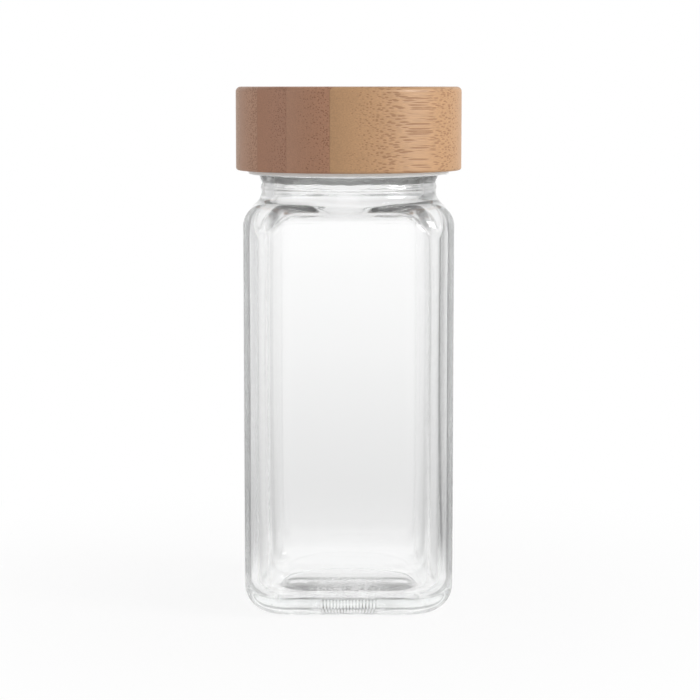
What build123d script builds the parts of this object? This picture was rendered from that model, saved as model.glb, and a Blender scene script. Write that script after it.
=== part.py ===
from build123d import *
import math
import os

# A small rounded-square spice jar of clear glass, standing on z = 0 with its axis on Z.
# Its screw lid is turned from a block of glued bamboo strips and lined with a threaded plastic cap.
# All lengths are in millimetres. The front of the jar faces -Y.

# Glass jar: body
jar_width = 41.8
shoulder_height = 82.0
corner_radius = 9.0
shoulder_round = 3.2
heel_round = 5.5
glass_wall = 2.8
shoulder_wall = 1.8
base_thickness = 4.4
inner_corner_radius = 6.5
floor_round = 5.0
inner_shoulder_round = 1.9

# Glass jar: hollow pressed into the underside, inside the ring that the jar stands on
foot_width = 1.05
punt_slope = 1.6
punt_depth = 1.7
punt_crown = 2.3
punt_round = 0.8

# Glass jar: neck
neck_height = 16.9
neck_inset = 3.2
neck_wall = 2.4
neck_blend = 1.4
throat_blend = 0.8
rim_round = 0.7
bead_above_shoulder = 2.5
bead_height = 2.6
bead_proud = 0.45
bead_round = 0.4

# Screw thread, right-handed, shared by the neck and the liner
thread_pitch = 4.233
thread_height = 1.2
thread_sink = 0.3
runout_angle = 32.0
runout_steps = 4

jar_thread_turns = 1.5
jar_thread_root = 2.2
jar_thread_crest = 0.9
jar_thread_crest_round = 0.3
jar_thread_below_rim = 1.9
jar_thread_angle = 200.0

liner_thread_turns = 1.75
liner_thread_root = 1.5
liner_thread_crest = 0.7
liner_thread_crest_round = 0.2
liner_thread_lead_angle = 10.0

# Clearances
thread_gap = 0.25
flank_gap = 0.15
insert_gap = 0.05
glue_gap = 0.05
seal_gap = 0.15

# Shaker insert that snaps into the mouth
insert_flange_thickness = 0.9
insert_flange_inset = 0.3
insert_wall = 0.9
insert_depth = 7.0
insert_lead_in = 0.4
sieve_recess = 1.6
sieve_thickness = 1.0
sieve_hole_radius = 1.6
sieve_margin = 2.25
sieve_rings = 2

# Sealing disc
seal_thickness = 1.0

# Threaded liner
liner_wall = 1.15
liner_plate = 1.2
liner_skirt = 1.45
liner_reach = 0.8
liner_round = 0.3
seal_bead_proud = 0.35
seal_bead_height = 0.6

# Bamboo lid, turned from a block that is a little wider than the lid
lid_wall = 2.45
lid_plate = 3.0
lid_top_round = 1.0
lid_bottom_round = 0.5
block_allowance = 0.8
strip_count = 6
strip_angle = 38.0

# How far a cutting shape runs past what it cuts
overrun = 2.0

# Heights of the stacked pieces, from the rim of the neck to the top of the lid
rim_z = shoulder_height + neck_height
insert_top_z = rim_z + insert_flange_thickness
seal_top_z = insert_top_z + seal_thickness
liner_top_z = seal_top_z + liner_plate
lid_top_z = liner_top_z + lid_plate

# Heights at which the two threads start, and the lower rims that follow from them
jar_thread_z = rim_z - jar_thread_below_rim - thread_pitch * jar_thread_turns
below_jar_thread = (jar_thread_root + liner_thread_crest) / 2 + flank_gap
liner_thread_z = jar_thread_z - below_jar_thread - thread_pitch * liner_thread_lead_angle / 360
liner_bottom_z = liner_thread_z - liner_skirt
lid_bottom_z = liner_bottom_z + liner_reach
lid_height = lid_top_z - lid_bottom_z

# Radii of the nested pieces, from the bore of the neck to the outside of the lid
neck_radius = jar_width / 2 - neck_inset
bore_radius = neck_radius - neck_wall
punt_radius = jar_width / 2 - heel_round - foot_width
liner_bore_radius = neck_radius + thread_height + thread_gap
liner_radius = liner_bore_radius + liner_wall
cup_bore_radius = liner_radius + glue_gap
lid_radius = cup_bore_radius + lid_wall

strip_width = (2 * lid_radius + block_allowance) / strip_count


def turned(points, rounds):
    """Solid of revolution about Z from (radius, height) points, with some of them rounded."""
    outline = make_face(Polyline(*points, close=True))
    for point, radius in rounds:
        corner = outline.vertices().sort_by_distance(point)[0]
        outline = fillet(corner, radius)
    return revolve(Plane.XZ * outline, axis=Axis.Z)


def pillow(width, corner, low, high, low_round, high_round):
    """Rounded-square block between two heights, with its bottom and top edges rounded."""
    block = Pos(0, 0, low) * extrude(RectangleRounded(width, width, corner), amount=high - low)
    block = fillet(block.edges().group_by(Axis.Z)[-1], high_round)
    return fillet(block.edges().group_by(Axis.Z)[0], low_round)


def upright(radius, low, high):
    """Round post on the Z axis between two heights."""
    return Pos(0, 0, low) * Cylinder(
        radius, high - low, align=(Align.CENTER, Align.CENTER, Align.MIN)
    )


def edges_on_post(shape, radius, low, high):
    """Edges that lie on a round post's wall and stay between two heights."""
    found = []
    for edge in shape.edges():
        spots = [edge @ 0, edge @ 0.5, edge @ 1]
        on_wall = all(math.isclose(math.hypot(p.X, p.Y), radius, rel_tol=1e-4) for p in spots)
        in_band = all(low < p.Z < high for p in spots)
        if on_wall and in_band:
            found.append(edge)
    return found


def thread_section(angle, radius, side, root, crest, crest_round, share):
    """Thread profile at one angle of the helix; side is 1 outwards and -1 inwards."""
    turn = math.radians(angle)
    outwards = Vector(math.cos(turn), math.sin(turn), 0)
    spot = outwards * radius + Vector(0, 0, thread_pitch * angle / 360)
    along = Vector(-math.sin(turn), math.cos(turn), thread_pitch / (math.tau * radius))
    plane = Plane(origin=spot, x_dir=outwards * side, z_dir=along * -side)
    tip = thread_height * share
    lower_flank = [(-thread_sink, -root / 2), (0, -root / 2), (tip, -crest / 2)]
    upper_flank = [(across, -up) for across, up in reversed(lower_flank)]
    profile = make_face(Polyline(*lower_flank, *upper_flank, close=True))
    profile = fillet(profile.vertices().group_by(Axis.X)[-1], crest_round * share)
    return plane * profile


def screw_thread(radius, side, turns, root, crest, crest_round):
    """Right-handed thread that starts at height 0 on +X, with both ends running out into the wall."""
    path = Helix(thread_pitch, thread_pitch * turns, radius)
    first = thread_section(0, radius, side, root, crest, crest_round, 1)
    thread = sweep(first, path=path, is_frenet=True)
    for start, direction in ((0, -1), (360 * turns, 1)):
        sections = []
        for step in range(runout_steps + 1):
            share = 1 - step / (runout_steps + 1)
            angle = start + direction * runout_angle * step / runout_steps
            sections.append(thread_section(angle, radius, side, root, crest, crest_round, share))
        thread += loft(sections)
    return thread


def glass_outside():
    """Outer form of the jar: body, shoulder and neck, without the thread."""
    body = pillow(jar_width, corner_radius, 0, shoulder_height, heel_round, shoulder_round)
    body += upright(neck_radius, shoulder_height / 2, rim_z)
    foot = edges_on_post(body, neck_radius, shoulder_height - shoulder_round, shoulder_height + overrun)
    body = fillet(foot, neck_blend)
    bead_low = shoulder_height + bead_above_shoulder
    bead_high = bead_low + bead_height
    bead_radius = neck_radius + bead_proud
    bead_points = [(0, bead_low), (bead_radius, bead_low), (bead_radius, bead_high), (0, bead_high)]
    bead_rounds = [(point, bead_round) for point in bead_points[1:3]]
    body += turned(bead_points, bead_rounds)
    return fillet(body.edges().group_by(Axis.Z)[-1], rim_round)


def glass_hollow():
    """Space inside the jar: the cavity and the bore of the neck."""
    inner_width = jar_width - 2 * glass_wall
    ceiling = shoulder_height - shoulder_wall
    block = (inner_width, inner_corner_radius, base_thickness, ceiling)
    hollow = pillow(*block, floor_round, inner_shoulder_round)
    hollow += upright(bore_radius, shoulder_height / 2, rim_z + overrun)
    throat = edges_on_post(hollow, bore_radius, shoulder_height / 2, rim_z)
    return fillet(throat, throat_blend)


def punt():
    """Hollow in the underside, a little higher in the middle."""
    shelf = (punt_radius - punt_slope, punt_depth)
    points = [(0, -overrun), (punt_radius, -overrun), (punt_radius, 0), shelf, (0, punt_crown)]
    return turned(points, [(shelf, punt_round)])


def glass_jar():
    """The blown jar with its threaded neck."""
    jar = glass_outside()
    form = (jar_thread_root, jar_thread_crest, jar_thread_crest_round)
    thread = screw_thread(neck_radius, 1, jar_thread_turns, *form)
    jar += Pos(0, 0, jar_thread_z) * Rot(0, 0, jar_thread_angle) * thread
    jar -= glass_hollow()
    jar -= punt()
    return fillet(edges_on_post(jar, bore_radius, rim_z - rim_round, rim_z + rim_round), rim_round / 2)


def shaker_insert():
    """Sieve with a flange that rests on the rim and a skirt that fits the bore."""
    outer = bore_radius - insert_gap
    inner = outer - insert_wall
    flange = neck_radius - insert_flange_inset
    skirt_z = rim_z - insert_depth
    sieve_top = insert_top_z - sieve_recess
    sieve_low = sieve_top - sieve_thickness
    points = [
        (0, sieve_low),
        (0, sieve_top),
        (inner, sieve_top),
        (inner, insert_top_z),
        (flange, insert_top_z),
        (flange, rim_z),
        (outer, rim_z),
        (outer, skirt_z + insert_lead_in),
        (outer - insert_lead_in, skirt_z),
        (inner, skirt_z),
        (inner, sieve_low),
    ]
    insert = turned(points, [])
    hole = upright(sieve_hole_radius, sieve_low - overrun, sieve_top + overrun)
    insert -= hole
    ring_step = (inner - sieve_margin - sieve_hole_radius) / sieve_rings
    for ring in range(1, sieve_rings + 1):
        for place in PolarLocations(ring_step * ring, 6 * ring):
            insert -= place * hole
    return insert


def seal_disc():
    """Foam disc between the liner's plate and the insert's flange."""
    return upright(liner_bore_radius - seal_gap, insert_top_z, seal_top_z)


def lid_liner():
    """Plastic cap with the inner thread, a bead that traps the seal and a rim below the bamboo."""
    bead_high = insert_top_z - seal_gap
    bead_low = bead_high - seal_bead_height
    bead_radius = liner_bore_radius - seal_bead_proud
    points = [
        (0, seal_top_z),
        (0, liner_top_z),
        (liner_radius, liner_top_z),
        (liner_radius, liner_bottom_z),
        (liner_bore_radius, liner_bottom_z),
        (liner_bore_radius, bead_low),
        (bead_radius, (bead_low + bead_high) / 2),
        (liner_bore_radius, bead_high),
        (liner_bore_radius, seal_top_z),
    ]
    liner = turned(points, [(point, liner_round) for point in points[2:5]])
    form = (liner_thread_root, liner_thread_crest, liner_thread_crest_round)
    thread = screw_thread(liner_bore_radius, -1, liner_thread_turns, *form)
    start_angle = jar_thread_angle - liner_thread_lead_angle
    return liner + Pos(0, 0, liner_thread_z) * Rot(0, 0, start_angle) * thread


def bamboo_cup():
    """The whole turned lid, before it is divided along its glue lines."""
    points = [
        (0, liner_top_z),
        (0, lid_top_z),
        (lid_radius, lid_top_z),
        (lid_radius, lid_bottom_z),
        (cup_bore_radius, lid_bottom_z),
        (cup_bore_radius, liner_top_z),
    ]
    return turned(points, [(points[2], lid_top_round), (points[3], lid_bottom_round)])


def bamboo_strip(cup, number):
    """One glued strip of the lid; number 0 is at the front right."""
    across = strip_width * (number + (1 - strip_count) / 2)
    slab = Box(
        2 * lid_radius + overrun,
        strip_width,
        lid_height + overrun,
        align=(Align.CENTER, Align.CENTER, Align.MIN),
    )
    slab = Rot(0, 0, strip_angle) * Pos(0, across, lid_bottom_z - overrun / 2) * slab
    return cup & slab


os.makedirs("parts", exist_ok=True)
export_step(glass_jar(), "parts/glass_jar.step")
export_step(shaker_insert(), "parts/shaker_insert.step")
export_step(seal_disc(), "parts/seal_disc.step")
export_step(lid_liner(), "parts/lid_liner.step")
whole_lid = bamboo_cup()
for index in range(strip_count):
    export_step(bamboo_strip(whole_lid, index), f"parts/bamboo_strip_{index + 1}.step")
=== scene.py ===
import math

import bmesh
import bpy
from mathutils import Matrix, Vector


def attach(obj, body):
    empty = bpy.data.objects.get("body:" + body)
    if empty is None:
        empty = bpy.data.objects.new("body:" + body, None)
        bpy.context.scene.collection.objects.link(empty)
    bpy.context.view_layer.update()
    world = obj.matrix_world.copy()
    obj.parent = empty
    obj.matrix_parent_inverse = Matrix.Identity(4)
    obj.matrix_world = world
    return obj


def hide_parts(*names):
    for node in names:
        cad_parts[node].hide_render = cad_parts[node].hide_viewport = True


# Spice jar: clear glass, a bamboo screw lid with a plastic liner and foam seal, and a shaker insert.
# Sizes are in millimetres and become metres through MM. The front faces -Y and the jar stands on z = 0.

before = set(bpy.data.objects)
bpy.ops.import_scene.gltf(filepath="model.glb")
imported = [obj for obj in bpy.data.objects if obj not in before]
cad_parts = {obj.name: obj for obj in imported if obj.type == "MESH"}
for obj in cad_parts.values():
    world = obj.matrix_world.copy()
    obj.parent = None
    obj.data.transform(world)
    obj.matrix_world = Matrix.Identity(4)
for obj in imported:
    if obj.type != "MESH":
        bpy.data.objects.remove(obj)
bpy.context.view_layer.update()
MM = 0.001


# Camera: it stands about half a metre in front of the jar, level with its top, and looks down a little.
# The lens and the shift give the jar the size and place that it has in the square frame.
camera_distance = 459
camera_height = 105.5
camera_tilt_deg = 6.715
camera_focal_length = 116.15
camera_sensor = 36
camera_shift = 0.0019
camera_near = 10

camera_data = bpy.data.cameras.new("camera")
camera_data.sensor_width = camera_sensor
camera_data.lens = camera_focal_length
camera_data.shift_x = camera_shift
camera_data.clip_start = camera_near * MM
camera = bpy.data.objects.new("camera", camera_data)
camera.location = (0, -camera_distance * MM, camera_height * MM)
camera.rotation_euler = (math.radians(90 - camera_tilt_deg), 0, 0)
bpy.context.collection.objects.link(camera)
bpy.context.scene.camera = camera
bpy.context.scene.view_settings.view_transform = "Standard"


# Studio: a white sweep under and behind the jar, lit by the room and by two soft boxes. Glass needs
# something dark to show its edges, so what it sees is greyer towards the corners of the room, with
# a dark card on each side, painted shade on the sweep around the jar and a painted, speckled contact
# shadow where the jar stands.
room_light = 0.42
ceiling_view = 0.92
ceiling_rise = (0.25, 0.62)
corner_view = 0.66
corner_near = 0.50
corner_floor = 0.70
corner_spread = (-0.10, -0.75)
corner_start = (20, 60)
corner_fade = (80, 260)
card_view = 0.18
card_front = (0.05, 0.14)
card_back = (0.56, 0.42)
card_sides = (-0.1, 0.1)
card_start = (50, 100)
left_card = 0.35
sweep_size = 6000
sweep_cells = 8
sweep_white = 0.88
shadow_share = 0.12
shadow_reach = 140
key_place = (680, -275, 350)
key_size = 300
key_power = 4.8
fill_place = (-620, -300, 260)
fill_size = 420
fill_power = 0.7
aim_height = 60
# Painted contact shadow under the jar, as the glass sees it
contact_ahead = 3
contact_edge = (13.0, 12.1)
contact_back = (6.5, 4.0)
contact_front = (-13.4, -12.6)
contact_shadow_view = 0.04
contact_stretch = 0.84
speck_across = 1500
speck_deep = 260
speck_size = (0.44, 0.56)
speck_sides = (10, 4)
speck_share = 0.75
tiny = 1e-6
# How bright the sweep looks to the glass, by distance from the jar in metres: painted shade around the jar
sweep_stops = [
    (0.000, 1.0),
    (0.060, 0.96),
    (0.085, 0.79),
    (0.110, 0.78),
    (0.190, 0.82),
    (0.290, 0.86),
    (0.440, 0.92),
    (0.650, 0.95),
    (1.000, 1.0),
]


class Signal:
    """A number on its way through a material; sums with it add Math nodes."""

    def __init__(self, tree, socket):
        self.tree = tree
        self.socket = socket

    def worked(self, operation, *values):
        node = self.tree.nodes.new("ShaderNodeMath")
        node.operation = operation
        for slot, value in zip(node.inputs, values):
            plug(self.tree, slot, value)
        return Signal(self.tree, node.outputs[0])

    def sine(self):
        return self.worked("SINE", self)

    def angle_from(self, across):
        return self.worked("ARCTAN2", self, across)

    def __add__(self, other):
        return self.worked("ADD", self, other)

    def __sub__(self, other):
        return self.worked("SUBTRACT", self, other)

    def __rsub__(self, other):
        return self.worked("SUBTRACT", other, self)

    def __mul__(self, other):
        return self.worked("MULTIPLY", self, other)

    def __truediv__(self, other):
        return self.worked("DIVIDE", self, other)

    def __pow__(self, other):
        return self.worked("POWER", self, other)

    def __abs__(self):
        return self.worked("ABSOLUTE", self)

    def at_most(self, other):
        return self.worked("MINIMUM", self, other)

    def at_least(self, other):
        return self.worked("MAXIMUM", self, other)

    def eased(self, low, high):
        """0 below low, 1 above high and a smooth ramp between; low may be the larger."""
        node = self.tree.nodes.new("ShaderNodeMapRange")
        node.interpolation_type = "SMOOTHSTEP"
        plug(self.tree, node.inputs["Value"], self)
        plug(self.tree, node.inputs["From Min"], low)
        plug(self.tree, node.inputs["From Max"], high)
        return Signal(self.tree, node.outputs["Result"])

    __radd__ = __add__
    __rmul__ = __mul__


def plug(tree, slot, value):
    """Links a signal to a socket, or sets the socket's own value."""
    if isinstance(value, Signal):
        tree.links.new(value.socket, slot)
    else:
        slot.default_value = value


class Finish:
    """The nodes of one material or of the world."""

    def __init__(self, owner):
        owner.use_nodes = True
        self.owner = owner
        self.tree = owner.node_tree
        self.tree.nodes.clear()

    def node(self, kind, settings=None, **sockets):
        """Adds a node, sets it up, feeds its sockets and gives its outputs by name."""
        node = self.tree.nodes.new("ShaderNode" + kind)
        for name, value in (settings or {}).items():
            if name == "stops":
                while len(node.color_ramp.elements) < len(value):
                    node.color_ramp.elements.new(0.5)
                for element, (place, tone) in zip(node.color_ramp.elements, value):
                    element.position = place
                    element.color = tone
            else:
                setattr(node, name, value)
        for name, value in sockets.items():
            plug(self.tree, node.inputs[name.replace("_", " ")], value)
        return {out.name: Signal(self.tree, out) for out in node.outputs if out.enabled}

    def mix(self, share, first, second):
        """Mixes two colours."""
        node = self.tree.nodes.new("ShaderNodeMix")
        node.data_type = "RGBA"
        plug(self.tree, node.inputs[0], share)
        plug(self.tree, node.inputs[6], first)
        plug(self.tree, node.inputs[7], second)
        return Signal(self.tree, node.outputs[2])

    def spread(self, x, y, z):
        """A vector from three numbers."""
        return self.node("CombineXYZ", X=x, Y=y, Z=z)["Vector"]

    def shader_mix(self, share, first, second):
        """Mixes two shaders."""
        node = self.tree.nodes.new("ShaderNodeMixShader")
        for slot, value in zip(node.inputs, (share, first, second)):
            plug(self.tree, slot, value)
        return Signal(self.tree, node.outputs[0])

    def finish(self, shader, **others):
        """Joins the shader, and a volume if there is one, to the output."""
        kind = "OutputWorld" if isinstance(self.owner, bpy.types.World) else "OutputMaterial"
        self.node(kind, Surface=shader, **others)
        return self.owner


def colour(red, green, blue):
    """Scene colour of an 8-bit screen colour."""
    parts = []
    for value in (red, green, blue):
        share = value / 255
        parts.append(share / 12.92 if share <= 0.04045 else ((share + 0.055) / 1.055) ** 2.4)
    return (*parts, 1)


def grey(tone):
    """An even grey, as a colour."""
    return (tone, tone, tone, 1)


def room_corner(x, y):
    """1 towards the four corners of the room and 0 towards its four walls."""
    across, deep = x * x, y * y
    squares = across + deep + tiny
    turned = (deep - across) / squares
    return (turned * turned * 2 - 1).eased(*corner_spread)


def side_card(x, y):
    """How much of a dark card is seen: one stands behind right, a weaker one behind left."""
    slope = y / (abs(x) + tiny)
    side_share = left_card + (1 - left_card) * x.eased(*card_sides)
    return slope.eased(*card_front) * slope.eased(*card_back) * side_share


def within(*ramps):
    """1 where every ramp is full; each is a signal, its start and its full end, in millimetres."""
    mask = 1
    for signal, start, full in ramps:
        mask = mask * signal.eased(start * MM, full * MM)
    return mask


white = grey(1)
world = bpy.data.worlds.new("room")
bpy.context.scene.world = world
room = Finish(world)
path = room.node("LightPath")
through_glass = path["Is Glossy Ray"].at_least(path["Is Transmission Ray"])
way = room.node("SeparateXYZ", Vector=room.node("TexCoord")["Generated"])
past_glass = through_glass * (1 - path["Is Camera Ray"])
view_tone = room.mix(past_glass * room_corner(way["X"], way["Y"]), white, grey(corner_view))
view_tone = room.mix(past_glass * side_card(way["X"], way["Y"]), view_tone, grey(card_view))
view_tone = room.mix(past_glass * way["Z"].eased(*ceiling_rise), view_tone, grey(ceiling_view))
lamp_light = room.node("Background", Color=white, Strength=room_light)["Background"]
white_view = room.node("Background", Color=view_tone, Strength=1)["Background"]
seen = through_glass.at_least(path["Is Camera Ray"])
room.finish(room.shader_mix(seen, lamp_light, white_view))

sweep_form = bmesh.new()
bmesh.ops.create_grid(sweep_form, x_segments=sweep_cells, y_segments=sweep_cells, size=sweep_size / 2 * MM)
sweep_mesh = bpy.data.meshes.new("sweep")
sweep_form.to_mesh(sweep_mesh)
sweep_form.free()
sweep = bpy.data.objects.new("sweep", sweep_mesh)
bpy.context.collection.objects.link(sweep)
paper = Finish(bpy.data.materials.new("white_paper"))
path = paper.node("LightPath")
by_glass = path["Is Glossy Ray"].at_least(path["Is Transmission Ray"])
place = paper.node("TexCoord")["Object"]
spot = paper.node("SeparateXYZ", Vector=place)
ahead = spot["Y"] + contact_ahead * MM
distance = (spot["X"] * spot["X"] + ahead * ahead) ** 0.5
ramp = [(stop, grey(tone)) for stop, tone in sweep_stops]
# Painted shade on the sweep around the jar, seen only by glass
shaded = paper.node("ValToRGB", {"stops": ramp}, Fac=distance)["Color"]
cornered = room_corner(spot["X"], spot["Y"]) * within((distance, *corner_start))
corner_tone = paper.mix(within((distance, *corner_fade)), grey(corner_near), grey(corner_floor))
shaded = paper.mix(cornered, shaded, corner_tone)
# Painted contact shadow under the jar, seen only by glass and lightened by specks
narrowed = spot["X"] * contact_stretch
oval = (narrowed * narrowed + ahead * ahead) ** 0.5
contact_shadow = within((oval, *contact_edge), (spot["Y"], *contact_back), (spot["Y"], *contact_front))
speck_place = paper.spread(spot["X"] * speck_across, spot["Y"] * speck_deep, 0)
speck = paper.node("TexNoise", Vector=speck_place, Scale=1.0, Detail=2.0)["Fac"].eased(*speck_size)
contact_shadow = contact_shadow * (1 - speck * within((abs(spot["X"]), *speck_sides)) * speck_share)
shaded = paper.mix(contact_shadow, shaded, grey(contact_shadow_view))
carded = side_card(spot["X"], spot["Y"]) * within((distance, *card_start))
shaded = paper.mix(carded, shaded, grey(card_view))
view_tone = paper.mix(path["Is Camera Ray"], shaded, white)
matt = paper.node("BsdfDiffuse", Color=grey(sweep_white))["BSDF"]
bright = paper.node("Emission", Color=view_tone, Strength=1.0)["Emission"]
near = within((distance, shadow_reach, 0)) * shadow_share
seen = by_glass.at_least(path["Is Camera Ray"] * (1 - near))
sweep_mesh.materials.append(paper.finish(paper.shader_mix(seen, matt, bright)))


def soft_box(name, place, size, power):
    """A square lamp that faces the jar."""
    data = bpy.data.lights.new(name, "AREA")
    data.shape = "SQUARE"
    data.size = size * MM
    data.energy = power
    lamp = bpy.data.objects.new(name, data)
    lamp.location = Vector(place) * MM
    aim = Vector((0, 0, aim_height)) * MM - lamp.location
    lamp.rotation_euler = aim.to_track_quat("-Z", "Y").to_euler()
    bpy.context.collection.objects.link(lamp)


soft_box("key", key_place, key_size, key_power)
soft_box("fill", fill_place, fill_size, fill_power)


# Glass jar: one piece of pressed and blown soda glass, rounded square below and round at the neck.
# Its surface is one skin of rings, drawn from the hollow underneath over the outside and the rim
# to the floor of the inside. Blowing leaves the inner walls wavy, and the mould ridges the heel.
half_width = 20.9
corner = 9.0
shoulder_top = 82.0
shoulder_round = 4.3
shoulder_fall = 1.2
heel_round = 5.5
wall = 2.8
shoulder_wall = 1.8
inner_corner = 6.5
floor_top = 3.8
floor_round = 3.2
wave_depth = 0.07
wave_peak = 2.2
wave_fade = 6
inner_shoulder_round = 2.6
inner_shoulder_fall = 2.5
corner_from = 0.66
punt_radius = 14.35
punt_slope = 1.6
punt_depth = 1.5
punt_crown = 2.3
punt_foot = 0.12
neck_radius = 17.7
bore_radius = 15.3
neck_blend = 1.9
throat_blend = 2.2
throat_lean = 0.9
rim = 98.9
rim_round = 0.7
bead_sag = 0.07
bead_fade = 1.2
bead_ripples = [(9, 1.0, 0.4), (23, 0.7, 2.0), (41, 0.5, 0.0)]
thread_low = 87.75
thread_pitch = 4.233
thread_turns_deg = 540
thread_angle_deg = 200
thread_start = 90.65
thread_height = 1.2
thread_root = 2.2
thread_crest = 0.9
thread_runout_deg = 32
ridge_count = 200
ridge_depth = 0.13
ridge_half = 6.0
ridge_low = 0.7 / 6
ridge_high = 0.86
ridge_fade = 6

side_steps = 28
ridge_steps = 84
edge_steps = 7
corner_steps = 24
front_quarter = 3
punt_steps = 12
foot_steps = 8
heel_steps = 12
wall_steps = 24
shoulder_steps = 44
neck_steps = 70
rim_steps = 6
bore_steps = 14
inner_wall_steps = 48
floor_steps = 16
shot_reach = 30.0
shot_halvings = 26


def round_the_jar():
    """Angles of a ring's points, closer together at the rounded corners and the ridges."""
    side_end = math.atan2(half_width - corner, half_width)
    angles = []
    for quarter in range(4):
        start = quarter * math.pi / 2
        if quarter == front_quarter:
            flat = half_width - corner
            runs = [
                (-flat, -ridge_half, edge_steps),
                (-ridge_half, ridge_half, ridge_steps),
                (ridge_half, flat, edge_steps),
            ]
            for low, high, steps in runs:
                for step in range(steps):
                    across = low + (high - low) * step / steps
                    angles.append(start + math.atan2(across, half_width))
        else:
            for step in range(side_steps):
                angles.append(start - side_end + 2 * side_end * step / side_steps)
        turn = math.pi / 2 - 2 * side_end
        for step in range(corner_steps):
            angles.append(start + side_end + turn * step / corner_steps)
    return angles


def square_edge(angle, half, round_off):
    """Distance from the axis to a rounded square's edge, at one angle."""
    x, y = abs(math.cos(angle)), abs(math.sin(angle))
    if y > x:
        x, y = y, x
    flat = half - round_off
    if round_off <= 0 or half * y <= flat * x:
        return half / x
    along = flat * (x + y)
    return along + math.sqrt(along * along - 2 * flat * flat + round_off * round_off)


def pillow_depth(x, y, z, half, round_off, low, high, low_round, high_round):
    """Signed distance to a rounded-square block, negative inside."""
    qx, qy = abs(x) - (half - round_off), abs(y) - (half - round_off)
    across = math.hypot(max(qx, 0), max(qy, 0)) + min(max(qx, qy), 0) - round_off
    if z > (low + high) / 2:
        up, bend = z - high, high_round
    else:
        up, bend = low - z, low_round
    outside = math.hypot(max(across + bend, 0), max(up + bend, 0))
    return outside - bend + min(max(across + bend, up + bend), 0)


def joined_depth(first, second, blend):
    """Signed distance to two joined solids, with a fillet where they meet."""
    outside = math.hypot(max(blend - first, 0), max(blend - second, 0))
    return max(blend, min(first, second)) - outside


def shot_ring(angles, centre, tilt, depth):
    """Points where rays from a ring inside the solid, at one tilt, leave it."""
    ring = []
    start_radius, start_z = centre
    out, up = math.cos(tilt), math.sin(tilt)
    for angle in angles:
        near, far = 0.0, shot_reach
        for _ in range(shot_halvings):
            middle = (near + far) / 2
            radius = start_radius + out * middle
            z = start_z + up * middle
            if depth(radius * math.cos(angle), radius * math.sin(angle), z) < 0:
                near = middle
            else:
                far = middle
        radius = start_radius + out * near
        ring.append((radius * math.cos(angle), radius * math.sin(angle), start_z + up * near))
    return ring


def square_ring(angles, half, round_off, z):
    """A level ring on a rounded square."""
    return [
        (square_edge(a, half, round_off) * math.cos(a), square_edge(a, half, round_off) * math.sin(a), z)
        for a in angles
    ]


def round_ring(angles, radius, z):
    """A level ring on a circle."""
    return [(radius * math.cos(a), radius * math.sin(a), z) for a in angles]


def eased(value):
    """Smooth step from 0 to 1."""
    share = min(max(value, 0), 1)
    return share * share * (3 - 2 * share)


def thread_proud(angle, z):
    """How far the thread stands out of the neck at an angle and a height."""
    best = 0
    first = (math.degrees(angle) - thread_angle_deg) % 360
    for turn in (-1, 0, 1, 2):
        along = first + 360 * turn
        if -thread_runout_deg < along < thread_turns_deg + thread_runout_deg:
            height = thread_start + thread_pitch * along / 360
            off = abs(z - height)
            flank = (thread_root / 2 - off) / ((thread_root - thread_crest) / 2)
            end = min(along, thread_turns_deg - along, 0)
            best = max(best, thread_height * eased(flank) * eased(1 + end / thread_runout_deg))
    return best


def wavy(x, y, z, depth):
    """Moves a point inwards a little, in three trains of upright waves as on blown glass."""
    radius = math.hypot(x, y)
    angle = math.atan2(y, x)
    swell = (
        math.sin(11 * angle + 1.1 * math.sin(z / 15.0 + 2 * angle))
        + 0.6 * math.sin(19 * angle + 1.4 * math.sin(z / 21.0 - angle) + 1.7)
        + 0.6 * math.sin(5 * angle + z / 11.0 + 0.6)
    )
    share = 1 - depth * (swell + wave_peak) / (2 * wave_peak) / radius
    return x * share, y * share, z


angles = round_the_jar()
rings = []

# Hollow underneath, with shares of its slope's width and depth for the rounded edge, and the foot ring
for step in range(1, punt_steps):
    share = step / punt_steps
    radius = (punt_radius - punt_slope) * share
    rings.append(round_ring(angles, radius, punt_crown - (punt_crown - punt_depth) * share**2))
punt_edge = [
    (-0.22, 1.02), (-0.05, 0.97), (0.12, 0.86), (0.30, 0.70), (0.48, 0.52), (0.66, 0.34),
    (0.82, 0.19), (0.96, 0.08), (1.10, 0.02),
]
for across_share, up_share in punt_edge:
    radius = punt_radius - punt_slope + punt_slope * across_share
    rings.append(round_ring(angles, radius, punt_depth * up_share))
foot_start = punt_radius + punt_slope * punt_foot
for step in range(1, foot_steps):
    share = step / foot_steps
    ring = []
    for a in angles:
        outer = square_edge(a, half_width - heel_round, corner - heel_round)
        radius = foot_start + (outer - foot_start) * share
        ring.append((radius * math.cos(a), radius * math.sin(a), 0))
    rings.append(ring)

# Heel, walls and shoulder
for step in range(heel_steps + 1):
    turn = math.pi / 2 * step / heel_steps
    inset = heel_round * (1 - math.sin(turn))
    ring = square_ring(angles, half_width - inset, corner - inset, heel_round * (1 - math.cos(turn)))
    share = step / heel_steps
    for index, (x, y, z) in enumerate(ring):
        if y < 0 and abs(x) < ridge_half:
            proud = ridge_depth * max(math.sin(ridge_count * angles[index]), 0)
            proud *= eased((share - ridge_low) * ridge_fade) * eased((ridge_high - share) * ridge_fade)
            proud *= eased(ridge_half - abs(x))
            ring[index] = (x, y - proud * math.sin(turn), z - proud * math.cos(turn))
    rings.append(ring)
shoulder_centre = (14.0, 76.0)
for step in range(1, wall_steps):
    z = heel_round + (shoulder_centre[1] - heel_round) * step / wall_steps
    rings.append(square_ring(angles, half_width, corner, z))


def cornerwise(x, y):
    """0 at the middle of a side and 1 at a corner."""
    slant = min(abs(x), abs(y)) / max(abs(x), abs(y), tiny)
    return eased((slant - corner_from) / (1 - corner_from))


def outside_depth(x, y, z):
    """Signed distance to the solid inside the outer skin: the body and the neck, joined."""
    bend = shoulder_round + shoulder_fall * cornerwise(x, y)
    body = pillow_depth(x, y, z, half_width, corner, 0, shoulder_top, heel_round, bend)
    return joined_depth(body, math.hypot(x, y) - neck_radius, neck_blend)


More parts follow.
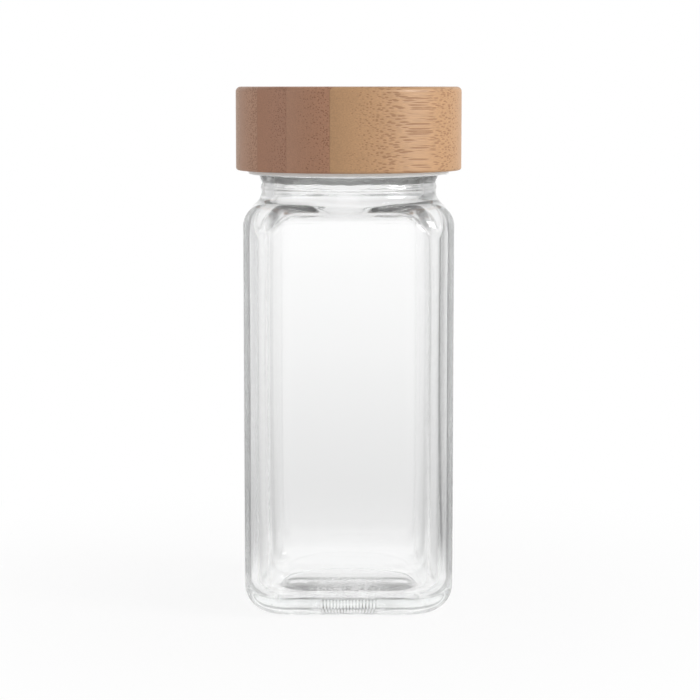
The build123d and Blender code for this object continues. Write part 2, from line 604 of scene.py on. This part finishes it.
neck_foot = 84.2
last_tilt = math.atan2(neck_foot - shoulder_centre[1], neck_radius - shoulder_centre[0])
for step in range(shoulder_steps + 1):
    tilt = last_tilt * step / shoulder_steps
    rings.append(shot_ring(angles, shoulder_centre, tilt, outside_depth))

# Neck with its bead, as points of radius past the neck's and of height, and with its thread and rim
bead_points = [
    (0.00, 84.40), (0.04, 84.55), (0.10, 84.75), (0.12, 85.00), (0.06, 85.25), (-0.04, 85.50),
    (-0.11, 85.70), (-0.12, 85.85), (-0.06, 86.02), (0.04, 86.24), (0.14, 86.48), (0.24, 86.72),
    (0.33, 86.96), (0.40, 87.18), (0.44, 87.36), (0.42, 87.46), (0.30, 87.54), (0.12, 87.60),
    (0.00, 87.66),
]
bead_bottom, bead_top = bead_points[0][1], bead_points[-1][1]
for proud, z in bead_points:
    share = eased((z - bead_bottom) / bead_fade) * eased((bead_top - z) / bead_fade)
    ring = []
    for a in angles:
        sag = bead_sag * sum(part * math.sin(count * a + shift) for count, part, shift in bead_ripples)
        radius = neck_radius + proud
        ring.append((radius * math.cos(a), radius * math.sin(a), z + sag * share))
    rings.append(ring)
thread_high = rim - rim_round
for step in range(neck_steps + 1):
    z = thread_low + (thread_high - thread_low) * step / neck_steps
    ring = []
    for a in angles:
        radius = neck_radius + thread_proud(a, z)
        ring.append((radius * math.cos(a), radius * math.sin(a), z))
    rings.append(ring)
for step in range(1, rim_steps + 1):
    turn = math.pi / 2 * step / rim_steps
    inset = rim_round * (1 - math.cos(turn))
    rings.append(round_ring(angles, neck_radius - inset, rim - rim_round * (1 - math.sin(turn))))
inner_rim_round = rim_round / 2
for step in range(rim_steps + 1):
    turn = math.pi / 2 * step / rim_steps
    radius = bore_radius + inner_rim_round * (1 - math.sin(turn))
    rings.append(round_ring(angles, radius, rim - inner_rim_round * (1 - math.cos(turn))))

# Bore, inner shoulder, inner walls and floor
inner_half = half_width - wall
ceiling = shoulder_top - shoulder_wall
throat_centre = (11.6, 72.5)
throat_low = 82.3
for step in range(1, bore_steps):
    z = rim - inner_rim_round + (throat_low - rim + inner_rim_round) * step / bore_steps
    rings.append(round_ring(angles, bore_radius, z))


def inside_depth(x, y, z):
    """Signed distance to the hollow that the inner skin bounds: the cavity and the bore, joined."""
    bend = inner_shoulder_round + inner_shoulder_fall * cornerwise(x, y)
    cavity = pillow_depth(x, y, z, inner_half, inner_corner, floor_top, ceiling, floor_round, bend)
    blend = throat_blend - throat_lean * x / bore_radius
    return joined_depth(cavity, math.hypot(x, y) - bore_radius, blend)


throat_tilt = math.atan2(throat_low - throat_centre[1], bore_radius - throat_centre[0])
for step in range(shoulder_steps + 1):
    tilt = throat_tilt * (1 - step / shoulder_steps)
    rings.append(shot_ring(angles, throat_centre, tilt, inside_depth))
for step in range(1, inner_wall_steps):
    share = step / inner_wall_steps
    z = throat_centre[1] + (floor_top + floor_round - throat_centre[1]) * share
    depth = wave_depth * eased(share * wave_fade) * eased((1 - share) * wave_fade)
    rings.append([wavy(*spot, depth) for spot in square_ring(angles, inner_half, inner_corner, z)])
for step in range(heel_steps + 1):
    turn = math.pi / 2 * step / heel_steps
    inset = floor_round * (1 - math.cos(turn))
    z = floor_top + floor_round * (1 - math.sin(turn))
    rings.append(square_ring(angles, inner_half - inset, inner_corner - inset, z))
for step in range(1, floor_steps):
    share = 1 - step / floor_steps
    ring = []
    for a in angles:
        edge = square_edge(a, inner_half - floor_round, inner_corner - floor_round)
        radius = share * (edge * share + (inner_half - floor_round) * (1 - share))
        ring.append((radius * math.cos(a), radius * math.sin(a), floor_top))
    rings.append(ring)

glass_form = bmesh.new()
start = bmesh.ops.create_circle(glass_form, cap_ends=True, cap_tris=True, segments=len(angles), radius=1)
edge_verts = [v for v in start["verts"] if v.is_boundary]
edge_verts.sort(key=lambda v: math.atan2(v.co.y, v.co.x) % math.tau)
centre_vert = next(v for v in start["verts"] if not v.is_boundary)
centre_vert.co = (0, 0, punt_crown * MM)
order = sorted(range(len(angles)), key=lambda i: angles[i] % math.tau)
for vert, index in zip(edge_verts, order):
    vert.co = Vector(rings[0][index]) * MM
place_of = dict(zip(edge_verts, order))
for ring in rings[1:]:
    edges = dict.fromkeys(e for v in place_of for e in v.link_edges if e.is_boundary)
    grown = bmesh.ops.extrude_edge_only(glass_form, edges=list(edges))
    new_place = {}
    for vert in grown["geom"]:
        if isinstance(vert, bmesh.types.BMVert):
            below = next(e.other_vert(vert) for e in vert.link_edges if e.other_vert(vert) in place_of)
            new_place[vert] = place_of[below]
            vert.co = Vector(ring[place_of[below]]) * MM
    place_of = new_place
last_edges = dict.fromkeys(e for v in place_of for e in v.link_edges if e.is_boundary)
cap = bmesh.ops.holes_fill(glass_form, edges=list(last_edges), sides=0)
bmesh.ops.poke(glass_form, faces=cap["faces"])
bmesh.ops.recalc_face_normals(glass_form, faces=glass_form.faces)
for face in glass_form.faces:
    face.smooth = True
glass_mesh = bpy.data.meshes.new("moulded_glass")
glass_form.to_mesh(glass_mesh)
glass_form.free()
glass = bpy.data.objects.new("moulded_glass", glass_mesh)
bpy.context.collection.objects.link(glass)

# Clear glass: the ridges carry painted shade, darkened unevenly, the underside is stippled, and a share
# of the light goes straight through, so that rays caught in the thick foot and corners don't end black
clear_share = 0.88
foot_leak = 0.16
floor_leak = 0.70
edge_leak = 0.30
ridge_hold = 0.26
ridge_shade_colour = colour(30, 24, 12)
cloud_scale = 260.0
cloud_spread = (0.35, 0.60)
least_ridge_shade = 0.3
stipple_scale = 1000.0
stipple_height = 2.2
stipple_depth = 0.15
glass_tint = colour(190, 214, 207)
tint_density = 3.2

clear = Finish(bpy.data.materials.new("clear_soda_glass"))
place = clear.node("TexCoord")["Object"]
spot = clear.node("SeparateXYZ", Vector=place)
height = spot["Z"]
aside, back = abs(spot["X"]), spot["Y"]
out = (spot["X"] * spot["X"] + back * back) ** 0.5
off_middle = aside.at_most(abs(back))
off_corner = abs(aside - abs(back))
on_ridges = within(
    (height, 3.9, 2.9), (height, 0.3, 0.7), (out, 15.5, 16.2), (off_middle, 6.2, 5.0), (back, -5, -10)
)
under = within((height, 3.4, 2.9), (height, 0.1, 0.4), (out, 15.0, 14.3), (aside, 10, 5), (back, 2, -4))
behind = within((height, 3.4, 3.0), (height, 0.1, 0.4), (back, 0.5, 3.0), (out, 15.0, 14.3))
foot = within((height, 6.6, 5.0), (out, 13.5, 15.0), (out, 23.5, 21.5))
edge = within((out, 24.2, 24.7), (off_corner, 3.0, 4.4))

clouds = clear.node("TexNoise", Vector=place, Scale=cloud_scale, Detail=1.0)["Fac"]
ridges = (back.angle_from(spot["X"]) * ridge_count).sine() * on_ridges
uneven = clouds.eased(*cloud_spread) * (1 - least_ridge_shade) + least_ridge_shade
# Painted shade: the base colour is darkened unevenly on the mould ridges
ridge_shaded = clear.mix(ridges.at_least(0) * uneven, white, ridge_shade_colour)
stipple = clear.node("TexNoise", Vector=place, Scale=stipple_scale, Detail=1.0)["Fac"]
relief = stipple * under * stipple_height
straight = foot_leak * foot + floor_leak * behind + edge_leak * edge
glass_shader = clear.node(
    "BsdfPrincipled",
    Base_Color=ridge_shaded,
    Roughness=0.0,
    IOR=1.5,
    Alpha=clear_share - straight + ridge_hold * on_ridges,
    Transmission_Weight=1.0,
    Normal=clear.node("Bump", Strength=1.0, Distance=stipple_depth * MM, Height=relief)["Normal"],
)["BSDF"]
tint = clear.node("VolumeAbsorption", Color=glass_tint, Density=tint_density)["Volume"]
glass_mesh.materials.append(clear.finish(glass_shader, Volume=tint))
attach(glass, "jar")
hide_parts("glass_jar")


# Shaker insert, liner and seal: the first two are moulded from polypropylene, one milky and one
# white, and the seal is a disc that is punched from closed-cell foam and pressed into the liner.
flow_scale = 60.0
flow_share = 0.93
flow_roughness = 0.12
grain_roughness = 0.08
grain_relief = 0.35


def plastic(name, tone, roughness, grain_size, grain_depth):
    """Moulded plastic with a faint flow pattern in its colour, gloss and skin."""
    finish = Finish(bpy.data.materials.new(name))
    place = finish.node("TexCoord")["Object"]
    grain = finish.node("TexNoise", Vector=place, Scale=1000 / grain_size, Detail=4.0)["Fac"]
    flow = finish.node("TexNoise", Vector=place, Scale=flow_scale, Detail=3.0, Distortion=0.8)["Fac"]
    shade = [value * flow_share for value in tone[:3]] + [1]
    bump = finish.node("Bump", Strength=grain_relief, Distance=grain_depth * MM, Height=grain)["Normal"]
    shader = finish.node(
        "BsdfPrincipled",
        Base_Color=finish.mix(flow, shade, tone),
        Roughness=roughness + (flow - 0.5) * flow_roughness + (grain - 0.5) * grain_roughness,
        IOR=1.49,
        Normal=bump,
    )["BSDF"]
    return finish.finish(shader)


def dress(node, material):
    """Gives a CAD node its material."""
    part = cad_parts[node]
    for slot in part.material_slots:
        slot.material = material


white_plastic = plastic(
    "white_polypropylene", colour(250, 250, 248), roughness=0.30, grain_size=0.25, grain_depth=0.02
)
milky_plastic = plastic(
    "milky_polypropylene", colour(238, 239, 238), roughness=0.24, grain_size=0.4, grain_depth=0.01
)
foam = plastic("closed_cell_foam", colour(226, 226, 222), roughness=0.62, grain_size=0.12, grain_depth=0.05)
dress("lid_liner", white_plastic)
dress("shaker_insert", milky_plastic)
dress("seal_disc", foam)


# Lid: six strips of split bamboo, glued side by side, turned, sanded and oiled.
# The fibre bundles run level through the block, 38 degrees off the front, and each strip is dense
# with them on the side that faces front right and plain on the other.
strip_width = 7.7333
strip_count = 6
fibre_angle_deg = 38
fibre_stretch = 0.03
fibre_offset = 7.3
dense_side = (0.95, 0.10)
drift_scale = 0.9
drift_share = 0.5
bundle_spacing = 0.42
bundle_size = 0.155
bundle_edge = 0.14
plain_size, dense_size = 0.35, 0.7
least_size, chance_size = 0.7, 0.5
plain_bundles, dense_bundles, chance_bundles = 0.45, 1.9, 0.6
bundle_fade = 0.6
bundle_share = 0.62
bundle_stain = (0.70, 0.62, 0.55)
fine_stretch = 0.05
fine_offset = 3.1
fine_scale = 4.2
fine_spread = (0.3, 0.7)
fine_share = 0.55
broad_scale = 0.28
broad_share = 0.30
deep_share = 0.72
glue_line = (0.10, 0.02)
glue_share = 0.35
fine_relief, bundle_relief, glue_relief = 0.3, -0.7, -0.8
relief_depth = 0.06
oiled_roughness = 0.46
bundle_roughness, fine_roughness = 0.14, 0.12
strip_tones = [
    (193, 150, 109),
    (185, 136, 106),
    (181, 131, 102),
    (196, 150, 122),
    (200, 158, 128),
    (188, 146, 116),
]


def bamboo(number):
    """Oiled bamboo of one strip; number 0 is at the front right."""
    finish = Finish(bpy.data.materials.new(f"oiled_bamboo_{number + 1}"))
    coords = finish.node("TexCoord")
    turned = finish.node(
        "Mapping",
        Vector=coords["Object"],
        Rotation=(0, 0, -math.radians(fibre_angle_deg)),
        Scale=(1000, 1000, 1000),
    )["Vector"]
    parts = finish.node("SeparateXYZ", Vector=turned)
    along, across, up = parts["X"], parts["Y"], parts["Z"]
    strip_start = strip_width * (number - strip_count / 2)
    share = (across - strip_start) / strip_width
    stretched = finish.spread(along * fibre_stretch + number * fibre_offset, across, up)
    drift = finish.node("TexNoise", Vector=stretched, Scale=drift_scale, Detail=2.0)["Fac"]
    dense = (share + (drift - 0.5) * drift_share).eased(*dense_side)
    cells = finish.node("TexVoronoi", Vector=stretched, Scale=1 / bundle_spacing, Randomness=0.9)
    chance = finish.node("SeparateColor", Color=cells["Color"])["Red"]
    radius = (dense * dense_size + plain_size) * (chance * chance_size + least_size)
    radius = radius * (bundle_size / bundle_spacing)
    spot = (radius - cells["Distance"]).eased(-bundle_edge, bundle_edge)
    spot = spot * (dense * dense_bundles + plain_bundles - chance * chance_bundles).eased(0.0, bundle_fade)
    fine_place = finish.spread(along * fine_stretch + number * fine_offset, across, up)
    fine = finish.node("TexNoise", Vector=fine_place, Scale=fine_scale, Detail=3.0, Roughness=0.6)["Fac"]
    broad = finish.node("TexNoise", Vector=stretched, Scale=broad_scale, Detail=2.0)["Fac"]
    light = colour(*strip_tones[number])
    deep = tuple(value * deep_share for value in light[:3]) + (1,)
    tone = finish.mix(fine.eased(*fine_spread) * fine_share + broad * broad_share, light, deep)
    bundle = colour(*(value * stain for value, stain in zip(strip_tones[number], bundle_stain)))
    tone = finish.mix(spot * bundle_share, tone, bundle)
    to_glue = share.at_most(1 - share) * strip_width
    glue = to_glue.eased(*glue_line)
    tone = finish.mix(glue * glue_share, tone, bundle)
    height = fine * fine_relief + spot * bundle_relief + glue * glue_relief
    bump = finish.node("Bump", Strength=0.5, Distance=relief_depth * MM, Height=height)["Normal"]
    shader = finish.node(
        "BsdfPrincipled",
        Base_Color=tone,
        Roughness=oiled_roughness + spot * bundle_roughness + (fine - 0.5) * fine_roughness,
        IOR=1.48,
        Coat_Weight=0.12,
        Coat_Roughness=0.32,
        Normal=bump,
    )["BSDF"]
    return finish.finish(shader)


for number in range(strip_count):
    dress(f"bamboo_strip_{number + 1}", bamboo(number))
